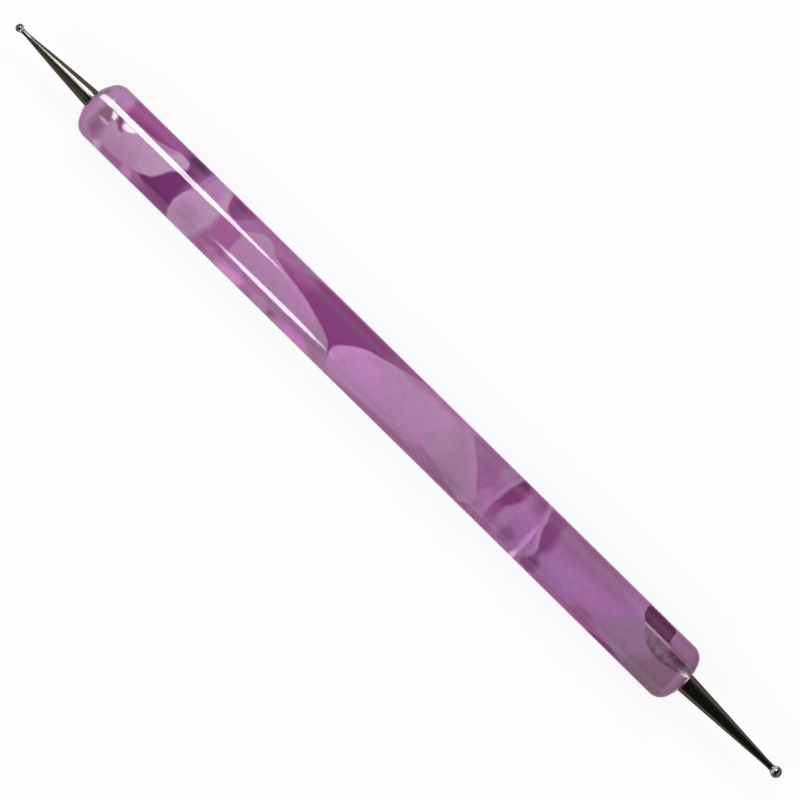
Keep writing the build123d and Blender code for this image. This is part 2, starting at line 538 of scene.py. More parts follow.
class Nodes:
    """The nodes of a material or of the world."""

    def __init__(self, owner):
        owner.use_nodes = True
        self.tree = owner.node_tree
        self.tree.nodes.clear()

    def add(self, kind, settings=(), sockets=(), output=0):
        """Add a node: its settings are set first, then the values or links of its sockets."""
        node = self.tree.nodes.new("ShaderNode" + kind)
        for name, setting in dict(settings).items():
            if name == "stops":
                ramp = node.color_ramp
                ramp.elements.remove(ramp.elements[1])
                for i, (place, shade) in enumerate(setting):
                    stop = ramp.elements[0] if i == 0 else ramp.elements.new(place)
                    stop.position, stop.color = place, (*shade, 1)
            elif name == "points":
                line = node.mapping.curves[0]
                line.points[0].location, line.points[1].location = setting[0], setting[-1]
                for place in setting[1:-1]:
                    line.points.new(*place)
                for point in line.points:
                    point.handle_type = "AUTO_CLAMPED"
                node.mapping.extend = "HORIZONTAL"
                node.mapping.update()
            else:
                setattr(node, name, setting)
        for name, content in dict(sockets).items():
            socket = node.inputs[name]
            if isinstance(content, Value):
                self.tree.links.new(content.socket, socket)
            elif isinstance(content, (tuple, Color)) and socket.type == "RGBA":
                socket.default_value = (*content, 1)
            else:
                socket.default_value = content
        return Value(self, node.outputs[output]) if node.outputs else None

    def maths(self, operation, first, second=0.0):
        """A Math node for an operation on one or two values."""
        return self.add("Math", {"operation": operation}, {0: first, 1: second})

    def axes(self, place):
        """X of a place, with its Y and Z beside it."""
        return self.add("SeparateXYZ", {}, {"Vector": place})

    def turn(self, axes):
        """Angle round the tool, from straight up towards +Y."""
        return self.maths("ARCTAN2", axes.other("Y"), axes.other("Z"))

    def ease(self, value, start, end):
        """0 before start and 1 past end, with a soft change between."""
        return self.add(
            "MapRange", {"interpolation_type": "SMOOTHSTEP", "clamp": False},
            {"Value": value, "From Min": start, "From Max": end},
        )

    def blend(self, share, first, second, kind="MIX"):
        """Second colour over first, by share."""
        settings = {"data_type": "RGBA", "blend_type": kind}
        return self.add("Mix", settings, {0: share, 6: first, 7: second}, output=2)

    def line(self, along, points):
        """How far over a drawn edge lies, at each place along it, and beyond its ends as at them."""
        start, end = points[0][0], points[-1][0]
        low, high = min(p[1] for p in points), max(p[1] for p in points)
        place = self.add("MapRange", {"clamp": False}, {"Value": along, "From Min": start, "From Max": end})
        shape = [((a - start) / (end - start), (b - low) / (high - low)) for a, b in points]
        return self.add("FloatCurve", {"points": shape}, {"Value": place}) * (high - low) + low

    def noise(self, where, scale, detail=2.0, roughness=0.5):
        """Smooth noise from 0 to 1."""
        return self.add(
            "TexNoise", {"noise_dimensions": "3D"},
            {"Vector": where, "Scale": scale, "Detail": detail, "Roughness": roughness},
        )


def new_finish(name):
    """A new material and its nodes."""
    material = bpy.data.materials.new(name)
    return material, Nodes(material)


def close_finish(nodes, shader):
    """Join a shader to the material's output."""
    nodes.add("OutputMaterial", {}, {"Surface": shader})


# Edges of the petals in the marbling, drawn in millimetres. Those whose names end in LEFT or RIGHT
# are pairs of a place round the tool, from the top towards +Y, and a place along it. The others are pairs of
# a place along the tool and a place round it

TONGUE_TOP = [
    (-26.5, 0.9), (-25.6, 2), (-24.8, 2.75), (-23.5, 3.45), (-22.3, 3), (-21.3, 2.25), (-20.3, 1.9),
    (-18.7, 1.5), (-17, 1.25), (-15, 0.9), (-13.5, 0.5), (-12, 0.1), (-10.6, -0.4), (-9.5, -1),
    (-8.9, -1.8), (-8.2, -2.6), (-7.7, -3.4), (-7.4, -4.6), (-7.1, -7.5),
]
FIRST_TOP = [
    (-48, 1.7), (-43.5, 1.8), (-42, 1.95), (-40.5, 2.3), (-39.2, 2.85), (-38, 3.25), (-37, 3.15),
    (-36.4, 2.6), (-36, 1.6),
]
FIRST_RIGHT = [
    (-4, -45.6), (-3.5, -43.6), (-3, -41.7), (-2.4, -40), (-1.6, -38.8), (-0.7, -38.2), (0.2, -37.7),
    (1, -37.1), (1.8, -36.55), (2.6, -36.3), (3.4, -36.4),
]
GAP_LEFT = [
    (-6, -36.8), (-4.2, -37.6), (-3.4, -38.6), (-2.6, -40.2), (-1.6, -39.8), (-0.7, -39.2), (0.2, -38.7),
    (1, -38.1), (1.8, -37.5), (2.6, -37.3), (3.4, -37.4),
]
SECOND_LEFT = [
    (-8, -34), (-5, -34.3), (-4, -34.6), (-3, -34.85), (-2, -34.95), (-1, -34.85), (0, -34.55),
    (0.8, -34.2), (1.5, -34.05), (2.5, -33.9), (4, -33.8), (6, -33.5), (8, -33.6),
]
SECOND_RIGHT = [
    (-8, -32.4), (-5, -31), (-4, -30.6), (-2, -29.9), (0, -29.3), (1.8, -29.3), (3, -29.8), (4, -30.1),
    (5.6, -31), (8, -32),
]
THIRD_LEFT = [
    (-7.5, -6.2), (-6, -6.7), (-4.4, -7.2), (-3.6, -7.6), (-2.8, -8.1), (-2, -8.4), (-1.2, -8.6),
    (-0.4, -8.25), (0.4, -7.3), (1.2, -6.2), (1.9, -4.9), (2.2, -3.8), (2.75, -2.4), (3.1, -1.2), (3.5, 0),
    (4, 1), (4.8, 2.5), (5.6, 4.5), (7, 6.5),
]
FOURTH_LEFT = [
    (-6.5, 17), (-5, 16), (-4.2, 14.8), (-3.3, 12.2), (-2.8, 10), (-2.2, 8.3), (-1.4, 7.35), (-0.6, 7),
    (0.2, 7.3), (1.2, 8.2), (2.2, 9), (3.5, 9.7), (4.6, 10.6),
]
FOURTH_RIGHT = [
    (-7, 13.5), (-5, 15), (-4.2, 15.9), (-3.2, 16.6), (-2.6, 16.85), (-1.6, 16.5), (-0.5, 15.6),
    (0.6, 14.6), (1.6, 13.5), (2.6, 12.5), (3.3, 11.7), (4.2, 10.9), (5.5, 10.2),
]
THREAD_LEFT = [
    (-8, 18.6), (-6, 18.3), (-4, 18.1), (-1, 18.2), (1, 18.4), (3, 18.8), (5, 19.15), (7, 19.6), (8, 19.9),
]
LENS_LEFT = [
    (-8, 19.9), (-6, 19.6), (-4, 19.3), (-2.5, 18.95), (-1, 18.8), (1, 18.95), (3, 19.25), (5, 19.65),
    (6.5, 19.95), (8, 20.3),
]
LENS_RIGHT = [
    (-8, 20.6), (-6, 20.5), (-4.5, 20.3), (-3, 20.1), (-1, 20.1), (0.5, 20.5), (2, 21), (3.5, 21.1),
    (5, 20.95), (6.5, 20.7), (8, 20.6),
]
HOOK = [(-34.8, -0.6), (-34, 0.1), (-33.2, 0.35), (-32.4, -0.1), (-31.5, -1.1), (-30.4, -2.4)]
THIRD_FOOT_TOP = [
    (-8, -5.6), (-6, -4.9), (-3, -4), (0, -3.5), (3, -3.2), (6, -3), (8, -2.7), (10, -2.9), (13, -3.9),
    (15, -5),
]
CURL_LEFT = [
    (-3.2, 25.9), (-2.5, 26.3), (-1.5, 26.5), (-0.5, 26.15), (0.5, 25.55), (2, 24.95), (3.5, 24.6),
    (5.5, 24.4), (8, 24),
]
# Edges of the painted highlights and of the painted shade by the fine mouth
SHINE_LOW = [(-50.5, 1.65), (-50.1, 1.2), (-49.5, 1), (-48.4, 0.92)]
SHINE_TOP = [(-50.5, 2.7), (-50.1, 2.15), (-49.5, 1.85), (-48.4, 1.72)]
GLINT_LEFT = [(-0.2, -47.35), (0.3, -47.55), (0.8, -47.8), (1.4, -47.9)]
GLINT_RIGHT = [(-0.2, -46.95), (0.4, -46.95), (0.8, -47.15), (1.4, -47.3)]
ARC_LEFT = [(-0.5, -45.8), (-0.2, -46.1), (0.2, -46.4), (0.6, -46.75), (1.2, -46.9)]
ARC_RIGHT = [(-0.5, -45.1), (-0.1, -45.25), (0.2, -45.75), (0.6, -46.05), (1.2, -46.2)]
LONG_GLINT_LOW = [(-46, 0.4), (-45.6, 0.2), (-45, 0.16), (-44.4, 0.36), (-43.9, 0.7), (-43.5, 1)]
VEE_LOW = [
    (-30.8, 7.4), (-30.1, 4.2), (-29.6, 2.6), (-28.9, 1.9), (-28.2, 1.8), (-27.5, 2.3), (-26.6, 3.4),
    (-25.6, 4.8), (-24.6, 6.4), (-23.8, 7.6),
]
SHADOW_TOP = [
    (-22, 1.6), (-20, 2.7), (-18, 3.4), (-16, 4.3), (-14, 5.2), (-11, 5.9), (-5, 6.1), (0, 5.7), (4, 5.2),
    (7, 4),
]
LINE_LOW = [(7, -2.2), (9, -2.8), (11, -3.3), (13, -3.9)]
LINE_TOP = [(7, -1.8), (9, -2.3), (11, -2.8), (13, -3.4)]
CURL_DARK_RIGHT = [
    (-2, 27.2), (-1.2, 27.3), (-0.5, 27.6), (0.7, 27.8), (2, 27.6), (3.5, 27.3), (6, 27.2), (8, 27.2),
]
STRIPE_RIGHT = [(-8, 25.4), (-5, 25.25), (-2, 25.15), (-1, 25.1), (0, 24.95), (1.2, 24.7), (2, 24.5)]
LOW_PLUM_TOP = [(37, -5.4), (38.5, -4.6), (40, -4.15), (41.5, -4), (43, -4.25), (44, -4.8), (45, -5.6)]
VEIL_LEFT = [(-6, 45), (-4, 42.6), (-2, 38.5), (0, 39.5), (2, 41.5), (4, 45)]
CLOUD_LEFT = [(-7, 43), (-4, 43.4), (-1, 45.2), (1, 47), (3, 50)]


def shifted(edge, by):
    """An edge moved sideways."""
    return [(along, over + by) for along, over in edge]


# The petals, from the lowest to the topmost: name, colour, strength and bounds. A petal's left and right
# bound it along the tool and its low and high bound it round the tool, each with the width of its fade. The
# bounds of an oval spot are its middle along and round the tool, and its half widths

PETALS = [
    ("fine end cloud", "smoke", 1, dict(right=(-46.6, 1.4))),
    ("fine end warmth", "blush", 0.3, (-49.6, -1.4, 1.2, 3)),
    ("fine end corner", "magenta", 0.5, (-50, 2.7, 0.6, 0.8)),
    ("fine end pink", "blush", 0.5, (-46.8, 2.9, 0.6, 1.2)),
    ("fine end pearl", "lilac", 0.5, (-48.3, 3.6, 1.5, 1.5)),
    ("mouth warmth", "rust", 0.16, (-48.9, -1, 0.6, 1.9)),
    ("fine end shade", "magenta", 0.55, (-47.5, -2.4, 1.1, 1.2)),
    ("fine end brown", "rust", 0.16, (-47.9, -2.2, 1.2, 1.6)),
    ("fine end blush", "glint", 0.28, (-46.35, -4.5, 0.8, 1.2)),
    ("top streak", "magenta", 1, dict(
        left=(-46.6, 1.4), right=(-33.8, 0.5), low=(1.2, 1), high=(5.6, 1.8))),
    ("streak core", "plum", 0.45, dict(left=(-44, 3), right=(-36, 2), low=(1.5, 1), high=(3.4, 1.6))),
    ("streak under edge", "magenta", 0.5, (-40.4, 3, 2, 0.7)),
    ("streak warmth", "rose", 0.5, dict(left=(-46, 2), right=(-38, 3), low=(3.2, 1), high=(6.6, 1))),
    ("rose under the first petal", "rose", 1, dict(
        left=(-46, 1), right=(-38.6, 2), low=(-6, 1), high=(-2.8, 0.8))),
    ("shade under the first petal", "magenta", 0.9, dict(
        left=(-39.4, 2.6), right=(-34.4, 0.4), low=(-6, 2), high=(-2.2, 1))),
    ("pink under the first petal", "blush", 0.75, (-41.6, -4.3, 0.9, 1.3)),
    ("dark gap", "plum", 1, dict(
        left=(GAP_LEFT, 1.2), right=(SECOND_LEFT, 0.3), low=(-3.6, 1.8), high=(5.6, 3))),
    # Painted shade near the upper side, in deep plum
    ("gap side shade", "deep", 0.7, dict(
        left=(-36.8, 0.8), right=(SECOND_LEFT, 0.3), low=(3.2, 1), high=(7, 1))),
    ("first petal", "mist", 1, dict(
        left=(-47, 1.5), right=(FIRST_RIGHT, 0.6), low=(-3.1, 1.8), high=(FIRST_TOP, 0.35))),
    ("first petal lilac", "lilac", 0.7, (-44, -2.2, 3.4, 1.2)),
    ("first petal grey", "smoke", 0.3, (-43.5, -0.6, 3.2, 1.6)),
    ("first petal shoulder", "violet", 0.7, dict(
        left=(-43, 1.6), right=(-38.6, 1.2), low=(shifted(FIRST_TOP, -0.8), 0.5), high=(FIRST_TOP, 0.35))),
    # A darker brownish patch beside the painted glint at the fine mouth, and a brownish streak running down
    # from it
    ("mouth darkening", "rust", 0.6, dict(
        left=(-48.8, 0.4), right=(-47.3, 0.7), low=(-0.65, 0.5), high=(1.3, 0.4))),
    ("mouth darkening tail", "umber", 0.55, dict(
        left=(-49.1, 0.6), right=(-48.2, 0.7), low=(-2.6, 1.4), high=(0.6, 1))),
    ("mouth line", "pale_pink_and_highlight", 0.4, dict(
        left=(-48.5, 0.6), right=(-47.2, 0.5), low=(-0.98, 0.3), high=(-0.66, 0.3))),
    # Painted highlight: the long light's reflection, carried on round the fine end's corner
    ("mouth shine", "glint", 0.9, dict(
        left=(-49.95, 0.5), right=(-48.4, 0.6), low=(SHINE_LOW, 0.35), high=(SHINE_TOP, 0.35))),
    # Painted highlight: a glint of the hidden fine shank, painted on the pearl
    ("mouth glint", "glint", 0.85, dict(
        left=(GLINT_LEFT, 0.4), right=(GLINT_RIGHT, 0.4), low=(0.1, 0.4), high=(0.86, 0.3))),
    # Painted shade: the dark crescent of the hidden shank between the two painted glints
    ("arc by the glint", "magenta", 0.9, dict(
        left=(ARC_LEFT, 0.3), right=(ARC_RIGHT, 0.3), low=(-0.42, 0.3), high=(1.1, 0.5))),
    # Painted shade: the darker core of that crescent, in the rust colour
    ("arc shade", "rust", 0.7, (-46.4, 0.45, 0.5, 0.5)),
    # Painted highlight: the second glint of the hidden fine shank, painted on the pearl
    ("long glint", "glint", 0.9, dict(
        left=(-45.7, 0.4), right=(-43.8, 0.6), low=(LONG_GLINT_LOW, 0.35), high=(0.88, 0.25))),
    ("second petal", "mist", 1, dict(left=(SECOND_LEFT, 0.35), right=(SECOND_RIGHT, 1.4))),
    ("second petal rose", "lilac", 0.4, (-32.6, 0, 2.4, 7)),
    ("second petal edge", "violet", 1, dict(
        left=(SECOND_LEFT, 0.3), right=(shifted(SECOND_LEFT, 0.7), 0.5), low=(1.6, 0.6))),
    ("second petal fold", "smoke", 0.5, (-32.4, -2.4, 1.9, 2)),
    ("second petal hook", "bright", 0.35, dict(
        left=(-34.6, 0.4), right=(-30.5, 0.6), low=(shifted(HOOK, -0.2), 0.3),
        high=(shifted(HOOK, 0.2), 0.3))),
    ("second petal middle", "rose", 0.35, (-32, 2.8, 1.4, 1)),
    ("second petal top", "violet", 0.4, dict(left=(-33.6, 1), right=(-31, 1), low=(1.4, 1), high=(5, 1))),
    ("dark vee", "magenta", 1, dict(left=(-30.6, 0.4), right=(-23.8, 1), low=(VEE_LOW, 0.4))),
    ("vee depth", "plum", 0.75, (-28.7, 3.9, 1.1, 1.9)),
    ("rose ground", "rose", 1, dict(left=(-29.6, 1.6), right=(-25.4, 0.6), low=(-8, 2), high=(1.4, 0.8))),
    ("rose ground light", "lilac", 0.6, (-26.9, -4.2, 1.4, 1.4)),
    ("violet above the tongue", "rose", 0.75, dict(
        left=(-26.6, 1), right=(-19, 3), low=(1, 1), high=(6.4, 1.6))),
    ("great shadow", "magenta", 1, dict(
        left=(-20, 6), right=(5.5, 1.5), low=(-3, 1), high=(SHADOW_TOP, 1.4))),
    ("great shadow light", "rose", 0.4, (-17, 3, 2, 1.4)),
    ("great shadow core", "plum", 0.4, dict(
        left=(-15.4, 2.6), right=(-1, 2.5), low=(-2.4, 1), high=(4.6, 1.8))),
    ("great shadow depth", "plum", 0.25, dict(
        left=(-14, 5), right=(1, 4), low=(1.6, 1.6), high=(3.8, 1.4))),
    ("tongue", "smoke", 1, dict(left=(-26, 0.4), right=(-7, 0.4), low=(-8, 1), high=(TONGUE_TOP, 0.3))),
    ("tongue glow", "lilac", 0.8, dict(
        left=(-25.8, 0.6), right=(-12, 4), low=(-3.6, 2), high=(shifted(TONGUE_TOP, -0.1), 0.5))),
    ("tongue rim", "bright", 0.35, dict(
        left=(-20.5, 1.5), right=(-12.5, 2), low=(shifted(TONGUE_TOP, -0.55), 0.4),
        high=(TONGUE_TOP, 0.25))),
    ("tongue lower side", "rose", 0.5, dict(left=(-27, 1), right=(-9, 2), low=(-7, 1), high=(-2.3, 0.8))),
    ("tongue blush", "blush", 1, (-23.8, -4.3, 2.6, 1.5)),
    ("tongue blush heart", "pale_pink_and_highlight", 0.15, (-23.8, -4.3, 1.8, 1)),
    ("tongue middle light", "mist", 0.6, (-18.8, -4.3, 1.4, 1.4)),
    ("tongue bruise", "violet", 0.8, (-21, -4.7, 0.9, 1.2)),
    ("tongue blot", "magenta", 0.6, (-16.7, -4.2, 0.7, 0.9)),
    ("tongue second blush", "blush", 0.85, (-13, -4.5, 3.2, 1.3)),
    ("third petal", "lilac", 1, dict(left=(THIRD_LEFT, 0.6), right=(9.5, 5), low=(-8, 1), high=(7, 1))),
    ("third petal rim", "bright", 0.6, dict(
        left=(THIRD_LEFT, 0.3), right=(shifted(THIRD_LEFT, 1.4), 1.4), low=(-3, 1.2), high=(1.8, 1.4))),
    ("third petal belly", "bright", 0.32, (-3.8, -1, 3.6, 2.4)),
    ("third petal upper edge", "dusk", 0.5, (0.6, 4.2, 3.8, 1.3)),
    ("third petal top", "dusk", 0.55, (6.4, 5.3, 3.6, 1.5)),
    ("third petal lower side", "dusk", 0.75, dict(
        left=(-7.4, 0.6), right=(14.6, 1), low=(-8, 1), high=(THIRD_FOOT_TOP, 1.4))),
    ("third petal underside", "magenta", 0.1, dict(
        left=(-7, 1.2), right=(14.6, 1), low=(-8, 1), high=(shifted(THIRD_FOOT_TOP, -0.5), 1.4))),
    ("dark behind the fourth petal", "dusk", 1, dict(
        left=(11.6, 1), right=(18.6, 1.2), low=(-6, 1.4), high=(5.4, 1.6))),
    ("dark under the thread", "magenta", 0.25, (15.6, 2.6, 1.6, 1.2)),
    ("lilac behind the fourth petal", "lilac", 0.45, (17.5, -2, 1, 2.6)),
    ("lilac by the thread", "lilac", 0.4, (17.7, 3.8, 0.9, 2.6)),
    ("fourth petal", "smoke", 1, dict(
        left=(FOURTH_LEFT, 0.6), right=(FOURTH_RIGHT, 0.4), low=(-5.6, 1), high=(6, 1))),
    ("fourth petal grey", "mist", 0.3, (8.8, 0.2, 1.9, 2.8)),
    ("fourth petal shade", "umber", 0.4, (12.6, -3.6, 2.8, 1.2)),
    ("fourth petal left rim", "lilac", 0.1, dict(
        left=(FOURTH_LEFT, 0.4), right=(shifted(FOURTH_LEFT, 1.1), 0.9), low=(-3, 1), high=(4, 1))),
    ("line under the fourth petal", "magenta", 0.4, dict(
        left=(7.2, 1), right=(12.6, 1.6), low=(LINE_LOW, 0.6), high=(LINE_TOP, 0.4))),
    ("fourth petal right rim", "lilac", 0.55, dict(
        left=(shifted(FOURTH_RIGHT, -1.5), 0.9), right=(FOURTH_RIGHT, 0.4), low=(-4, 1), high=(4.6, 1))),
    ("thread", "lilac", 0.7, dict(
        left=(shifted(THREAD_LEFT, -0.1), 0.9), right=(shifted(THREAD_LEFT, 0.75), 0.5), low=(-3.4, 2),
        high=(8, 1))),
    ("lens", "dusk", 0.9, dict(left=(LENS_LEFT, 0.5), right=(LENS_RIGHT, 0.9))),
    ("lens body", "magenta", 0.7, dict(left=(LENS_LEFT, 0.6), right=(LENS_RIGHT, 1), low=(-2, 2))),
    ("lens core", "plum", 0.85, dict(
        left=(LENS_LEFT, 0.7), right=(LENS_RIGHT, 1), low=(-0.2, 1.6), high=(6, 1.6))),
    # Painted shade near the upper side, in deep plum
    ("lens side shade", "deep", 0.5, dict(left=(LENS_LEFT, 0.4), right=(21.6, 0.6), low=(3.2, 1), high=(7, 1))),
    ("swirl", "lilac", 0.3, dict(
        left=(shifted(LENS_RIGHT, 0.1), 0.6), right=(shifted(LENS_RIGHT, 1.5), 0.9), low=(-3.6, 1),
        high=(2.6, 1.4))),
    ("swirl grey", "smoke", 0.6, (20.9, -0.8, 0.7, 1.4)),
    ("swirl blot", "plum", 0.5, (22.6, -2.7, 1, 1.4)),
    ("swirl top", "magenta", 0.75, dict(left=(20.9, 0.8), right=(24.4, 0.6), low=(2.2, 1.8), high=(7, 1))),
    ("swirl top depth", "plum", 0.4, (23.4, 3.7, 0.8, 1.2)),
    ("swirl top light", "lilac", 0.35, (21.8, 2.8, 0.6, 1.6)),
    ("swirl top rose", "rose", 0.6, (21.9, 4.7, 0.9, 0.9)),
    ("dark by the curl", "plum", 0.82, dict(
        left=(CURL_LEFT, 0.4), right=(CURL_DARK_RIGHT, 1.4), low=(-1.8, 0.8), high=(4.4, 2.4))),
    ("dark above the curl", "magenta", 0.65, dict(
        left=(CURL_LEFT, 0.4), right=(27.3, 1.2), low=(3.2, 1.6))),
    ("second blot by the curl", "plum", 0.85, (27, -3.5, 1.4, 1.7)),
    ("curl", "mist", 0.42, dict(
        left=(shifted(CURL_LEFT, -0.55), 0.6), right=(shifted(CURL_LEFT, 0.15), 0.4), low=(-2.9, 0.8))),
    ("bright stripe", "bright", 0.9, dict(
        left=(24.45, 0.8), right=(STRIPE_RIGHT, 0.3), low=(-8, 1), high=(1, 1.6))),
    ("stripe light", "pale_pink_and_highlight", 0.5, (24.85, -5.2, 0.4, 2)),
    ("broad top warmth", "dusk", 0.8, dict(left=(27.4, 1), right=(39, 4), low=(1.2, 1.8), high=(7, 1))),
    ("broad top shade", "magenta", 0.3, (31.6, 4.2, 2.8, 1.4)),
    ("broad middle glow", "lilac", 0.2, (33.5, -1.2, 4.6, 1.6)),
    ("broad lower haze", "rose", 0.85, dict(left=(28.5, 2), right=(45, 2), low=(-8, 1), high=(-3.2, 1.6))),
    ("broad lower corner", "dusk", 0.4, (31.5, -4.8, 2.8, 1.2)),
    ("broad lower shade", "magenta", 0.5, (36.2, -3.7, 2.4, 1.3)),
    ("broad lower brown", "rust", 0.15, (36.2, -3.4, 1.8, 0.9)),
    # Painted shade low on the lower side, in deep plum
    ("broad lower plum", "deep", 0.7, dict(
        left=(37.8, 0.8), right=(44.2, 0.8), low=(-8, 1), high=(LOW_PLUM_TOP, 0.5))),
    ("grey veil", "ash", 0.88, dict(left=(VEIL_LEFT, 4), low=(-6, 1), high=(4, 1))),
    ("broad end cloud", "umber", 0.9, dict(left=(CLOUD_LEFT, 2.6), low=(-8, 1))),
    ("broad end underside", "plum", 0.15, dict(left=(43.5, 2), low=(-8, 1), high=(-3.4, 1.4))),
    ("broad corner", "smoke", 0.5, dict(left=(49.4, 0.8), low=(-6, 1), high=(4, 1))),
    ("broad end top", "dusk", 0.9, dict(left=(45.9, 1), low=(1.8, 1))),
    ("broad end top haze", "umber", 0.25, dict(left=(47, 2), low=(1.8, 1))),
]

# The place where the marbling thins out and shows the broad shank: an outline in the same millimetres, along
# the tool and round it

BROAD_WINDOW = [
    (42, 5.25), (41.4, 4.95), (41.2, 4.4), (41.25, 3.4), (41.4, 2.7), (41.9, 2.2), (42.4, 1.6),
    (43.2, 0.7), (44.2, 0.05), (45.5, -0.3), (47, -0.3), (48.5, 0), (49.8, 0.35), (50.45, 0.8),
    (50.45, 1.5), (49.9, 1.95), (48.2, 2.06), (46.9, 2.08), (46.2, 2.3), (45.95, 2.9), (45.9, 3.8),
    (45.85, 4.5), (45.6, 5), (45, 5.25),
]


def round_the_tool(barrel):
    """Millimetres round the picture of the pearl layer for each radian round the tool itself.

    The clear resin bends what is seen through it, which makes the pearl look nearly as wide as the barrel.
    """
    wall, pearl = barrel.diameter / 2, barrel.diameter / 2 - barrel.pearl_inset
    return wall / MM / (1 - 1 / RESIN_IOR + wall / (RESIN_IOR * pearl))


def window_outline(barrel, drawn):
    """A window drawn on the seen barrel, as it lies on the pearl layer from above."""
    pearl = barrel.diameter / 2 - barrel.pearl_inset
    scale = round_the_tool(barrel)
    return [(x * MM, sin(min(v / scale, pi / 2)) * pearl) for x, v in drawn]


def marbling(nodes, barrel, looks):
    """The colour of the pearl layer: drawn petals on the side that faces up, and freer ones below."""
    place = nodes.add("TexCoord", output="Object")
    axes = nodes.axes(place)
    turn = nodes.turn(axes)

    # Millimetres along the tool and round it. Edges wander a little along the tool, and spots are ragged
    wander = (nodes.noise(place, 420.0, 2.0) - 0.5) * 0.6
    ragged = (nodes.noise(place, 650.0, 3.0) - 0.5) * 1.6
    x = axes / MM + wander
    v = turn * round_the_tool(barrel)
    half_turn = pi * round_the_tool(barrel)

    clouds = nodes.ease(nodes.noise(place, 170.0, 3.0), 0.35, 0.7)
    ground = nodes.blend(clouds, looks.violet, looks.rose)
    seen = ground
    for name, shade, strength, bounds in PETALS:
        share = petal_share(nodes, x, v, ragged, bounds) * strength
        seen = nodes.blend(share, seen, getattr(looks, shade))
        seen.socket.node.label = name

    # Below, curved petals follow each other along the tool, each with its tip somewhere else round it
    under = nodes.add("Math", {"operation": "WRAP"}, {0: v + half_turn, 1: half_turn, 2: -half_turn})
    hidden = ground
    rng = random.Random(7)
    shades = ["lilac", "magenta", "smoke", "plum", "bright", "rose"]
    petals, first_tip, spacing = 14, -49, 7.4
    for i in range(petals):
        tip = first_tip + i * spacing + rng.uniform(-1.5, 1.5)
        side = rng.uniform(-3, 3)
        curve = rng.uniform(0.08, 0.3) * rng.choice((-1, 1))
        over = under - side
        beyond = (x - tip) - over * over * curve
        body = nodes.ease(beyond, 0, 0.45) * (1 - nodes.ease(beyond, rng.uniform(3, 5), rng.uniform(7, 10)))
        hidden = nodes.blend(body * rng.uniform(0.6, 0.95), hidden, getattr(looks, shades[i % len(shades)]))

    # The two sides meet in a broken line, and a fine grain runs through both
    seen_to, hidden_from, raggedness = 6.9, 8.3, 4
    down = abs(v) + (nodes.noise(place, 150.0, 1.0) - 0.5) * raggedness
    painted = nodes.blend(nodes.ease(down, seen_to, hidden_from), seen, hidden)
    dim, light, depth = (0.36, 0.34, 0.36), (0.64, 0.62, 0.64), 0.22
    grain = nodes.noise(place, 1400.0, 4.0, 0.6)
    mottle = nodes.add("ValToRGB", {"stops": [(0.3, dim), (0.7, light)]}, {"Fac": grain})
    return nodes.blend(depth, painted, mottle, "OVERLAY")


def petal_share(nodes, x, v, ragged, bounds):
    """How far a petal covers the place: a ragged oval spot, or all that lies inside up to four sides."""
    if isinstance(bounds, tuple):
        middle_x, middle_v, half_x, half_v = bounds
        along, over = (x - middle_x) / half_x, (v - middle_v) / half_v
        return 1 - nodes.ease(along * along + over * over + ragged, 0.1, 1.6)
    share = None
    for side, (edge, fade) in bounds.items():
        here, along = (x, v) if side in ("left", "right") else (v, x)
        past = here - (nodes.line(along, edge) if isinstance(edge, list) else edge)
        soft = fade / 2 if side in ("left", "low") else -fade / 2
        part = nodes.ease(past, -soft, soft)
        share = part if share is None else share * part
    return share


def lit_through(nodes, surface):
    """A surface that lets through some of the light from lamps, so that what lies inside it is lit."""
    let_through = 0.75
    clear = nodes.add("BsdfTransparent")
    thinned = nodes.add("MixShader", {}, {0: let_through, 1: surface, 2: clear})
    lamps = nodes.add("LightPath", output="Is Shadow Ray")
    return nodes.add("MixShader", {}, {0: lamps, 1: surface, 2: thinned})


def pearl_finish(barrel, looks):
    """Pearl marbling inside the resin."""
    material, nodes = new_finish("pearl_marbling")
    pearl = nodes.add("BsdfPrincipled", {}, {
        "Base Color": marbling(nodes, barrel, looks),
        "Roughness": 0.6,
        "Specular IOR Level": 0.1,
    })
    close_finish(nodes, lit_through(nodes, pearl))
    return material


def far_wall_finish(looks):
    """The inner side of the pearl layer, deep in the resin."""
    material, nodes = new_finish("pearl_far_wall")
    place = nodes.add("TexCoord", output="Object")
    clouds = nodes.ease(nodes.noise(place, 300.0, 3.0), 0.3, 0.75)
    wall = nodes.add("BsdfPrincipled", {}, {
        "Base Color": nodes.blend(clouds, looks.inside, looks.magenta),
        "Roughness": 0.7,
        "Specular IOR Level": 0.1,
    })
    close_finish(nodes, lit_through(nodes, wall))
    return material


